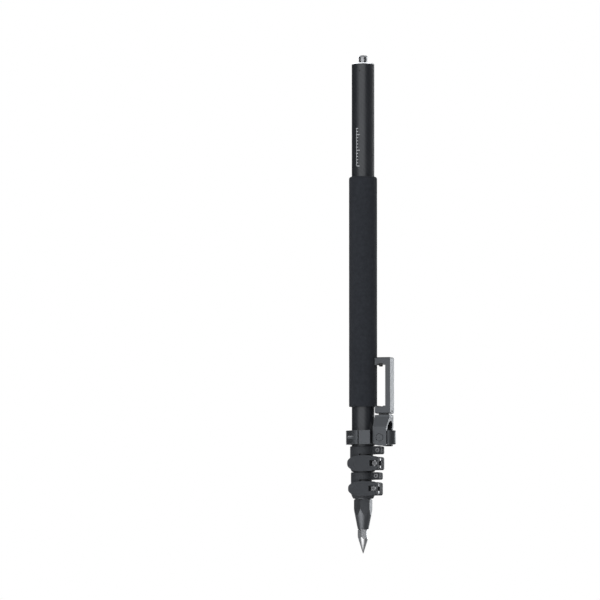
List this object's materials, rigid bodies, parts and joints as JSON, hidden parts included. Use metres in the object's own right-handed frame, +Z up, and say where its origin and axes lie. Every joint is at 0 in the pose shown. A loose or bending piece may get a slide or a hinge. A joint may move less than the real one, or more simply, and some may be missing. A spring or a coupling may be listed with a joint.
{
  "type": "prism pole",
  "caption": "Telescopic carbon survey pole with cam-lever clamps, foam grip, level collar with a swing-out cradle, threaded top stud and steel ground point.",
  "frame": {"origin": "apex of the steel point, on the pole's axis", "axes": "+Z up the pole towards the stud, +X towards the clamp lugs and the cradle, -Y the side the lever faces look to"},
  "size_m": [0.0812, 0.0546, 0.7941],
  "materials": {
    "carbon": "satin woven carbon tube",
    "cap_black": "satin black anodised cap",
    "foam": "closed-cell foam, fine matt pebble",
    "alloy": "bead-blasted, grey-black anodised",
    "clamp_black": "moulded glass-filled nylon",
    "lever_plastic": "fine spark-eroded texture",
    "liner": "acetal",
    "steel": "turned",
    "bright_steel": "turned, bright",
    "black_steel": "black oxide",
    "rubber": "moulded",
    "spirit": "clear green spirit",
    "vial": "polished"
  },
  "bodies": {
    "lower_section": {"lower_tube": "carbon", "lower_guide_bush": "liner", "foot_body": "alloy", "point_tip": "bright_steel", "point_washer": "bright_steel"},
    "middle_section": {"middle_tube": "carbon", "middle_guide_bush": "liner", "lower_clamp_body": "clamp_black", "lower_clamp_liner": "liner", "lower_clamp_band_screw": "steel", "lower_clamp_draw_bolt": "steel", "lower_clamp_nut": "steel", "lower_clamp_wear_plate": "steel", "lower_clamp_barrel": "steel"},
    "upper_section": {"upper_tube": "carbon", "top_cap": "cap_black", "cap_set_screw": "black_steel", "antenna_stud": "bright_steel", "foam_grip": "foam", "level_collar": "alloy", "collar_strap": "alloy", "collar_screws": "black_steel", "vial_cup": "clamp_black", "vial_spirit": "spirit", "vial_glass": "vial", "pivot_screws": "alloy", "upper_clamp_body": "clamp_black", "upper_clamp_liner": "liner", "upper_clamp_band_screw": "steel", "upper_clamp_draw_bolt": "steel", "upper_clamp_nut": "steel", "upper_clamp_wear_plate": "steel", "upper_clamp_barrel": "steel"},
    "lower_lever_arm": {"lower_lever": "lever_plastic"},
    "upper_lever_arm": {"upper_lever": "lever_plastic"},
    "cradle_arm": {"swing_arm": "alloy", "cradle_frame": "alloy", "cradle_tongue": "black_steel", "cradle_screws": "steel", "cradle_pads": "rubber", "cradle_button": "rubber"}
  },
  "joints": [
    {"name": "middle_draw", "type": "slide", "parent": "lower_section", "child": "middle_section", "axis": [0, 0, 1], "range_m": [0, 0.50885]},
    {"name": "upper_draw", "type": "slide", "parent": "middle_section", "child": "upper_section", "axis": [0, 0, 1], "range_m": [0, 0.50885]},
    {"name": "lower_lever_swing", "type": "hinge", "parent": "middle_section", "child": "lower_lever_arm", "pos_m": [0.0242, -0.01735, 0.1026], "axis": [0, 0, 1], "range_deg": [0, 90]},
    {"name": "upper_lever_swing", "type": "hinge", "parent": "upper_section", "child": "upper_lever_arm", "pos_m": [0.0259, -0.01735, 0.1429], "axis": [0, 0, 1], "range_deg": [0, 90]},
    {"name": "cradle_swing", "type": "hinge", "parent": "upper_section", "child": "cradle_arm", "pos_m": [0.03305, 0, 0.1837], "axis": [0, 1, 0], "range_deg": [0, 90]}
  ]
}
